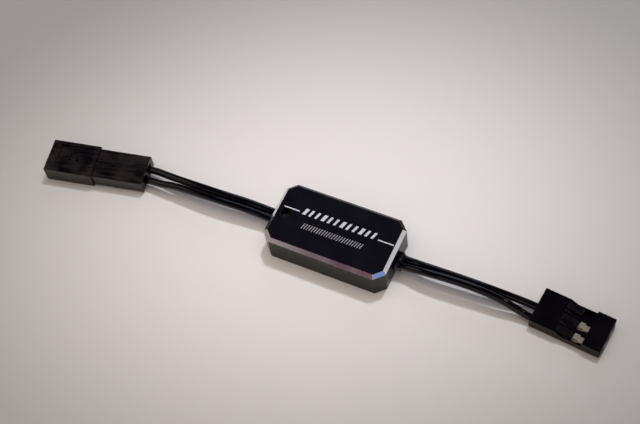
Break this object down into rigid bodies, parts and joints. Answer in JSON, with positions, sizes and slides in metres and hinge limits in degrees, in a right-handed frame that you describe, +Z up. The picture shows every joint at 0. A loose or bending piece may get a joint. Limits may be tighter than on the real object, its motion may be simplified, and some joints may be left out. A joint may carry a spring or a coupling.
{
  "type": "inline voltage booster",
  "caption": "Small inline voltage booster in a black machined case, with a two-wire lead at each end: a servo-type plug on the input and a socket on the output.",
  "frame": {"origin": "middle of the case's flat underside", "axes": "+X along the case towards the input plug, +Y across it, +Z up through the top face with the lamp hole"},
  "size_m": [0.1181, 0.015, 0.0063],
  "materials": {
    "case": "satin black anodised, machined",
    "cover": "satin black anodised plate",
    "board": "green solder mask",
    "thermal_pad": "soft grey blue pad",
    "ferrite": "sintered, matt",
    "magnet_wire": "enamelled copper",
    "mould": "moulded epoxy",
    "tin": "tin plate",
    "ceramic_tan": "fired ceramic",
    "resistor": "glazed film",
    "lamp": "unlit lamp base",
    "lens": "smoked epoxy, unlit",
    "seal": "glossy black sealant",
    "wire": "glossy black insulation",
    "strand": "tinned copper strands",
    "solder": "solder",
    "plug": "moulded, fine texture",
    "socket": "moulded, semi gloss",
    "contact": "bright tin plate"
  },
  "bodies": {
    "module": {"case_shell": "case", "bottom_cover": "cover", "circuit_board": "board", "thermal_pad": "thermal_pad", "coil_shield": "ferrite", "coil_core": "ferrite", "coil_winding": "magnet_wire", "converter_chip": "mould", "chip_leads": "tin", "rectifier_diode": "mould", "diode_tabs": "tin", "input_capacitor": "ceramic_tan", "output_capacitor": "ceramic_tan", "capacitor_ends": "tin", "divider_resistors": "resistor", "resistor_ends": "tin", "indicator_lamp": "lamp", "lamp_lens": "lens", "input_seal": "seal", "output_seal": "seal", "input_wire_back": "wire", "input_wire_front": "wire", "output_wire_back": "wire", "output_wire_front": "wire", "input_strands": "strand", "output_strands": "strand", "solder_joints": "solder", "input_plug_housing": "plug", "input_contact_middle": "contact", "input_contact_front": "contact", "output_socket_housing": "socket", "output_pin_back": "contact", "output_pin_front": "contact"},
    "finger_back": {"latch_finger_back": "plug"},
    "finger_middle": {"latch_finger_middle": "plug"},
    "finger_front": {"latch_finger_front": "plug"}
  },
  "joints": [
    {"name": "latch_finger_back_hinge", "type": "hinge", "parent": "module", "child": "finger_back", "pos_m": [0.04548, 0.00344, 0.0026], "axis": [-0.0948, -0.9955, 0], "range_deg": [0, 12], "stiffness_Nm_per_rad": 0.01},
    {"name": "latch_finger_middle_hinge", "type": "hinge", "parent": "module", "child": "finger_middle", "pos_m": [0.04524, 0.00092, 0.0026], "axis": [-0.0948, -0.9955, 0], "range_deg": [0, 12], "stiffness_Nm_per_rad": 0.01},
    {"name": "latch_finger_front_hinge", "type": "hinge", "parent": "module", "child": "finger_front", "pos_m": [0.045, -0.00161, 0.0026], "axis": [-0.0948, -0.9955, 0], "range_deg": [0, 12], "stiffness_Nm_per_rad": 0.01}
  ]
}
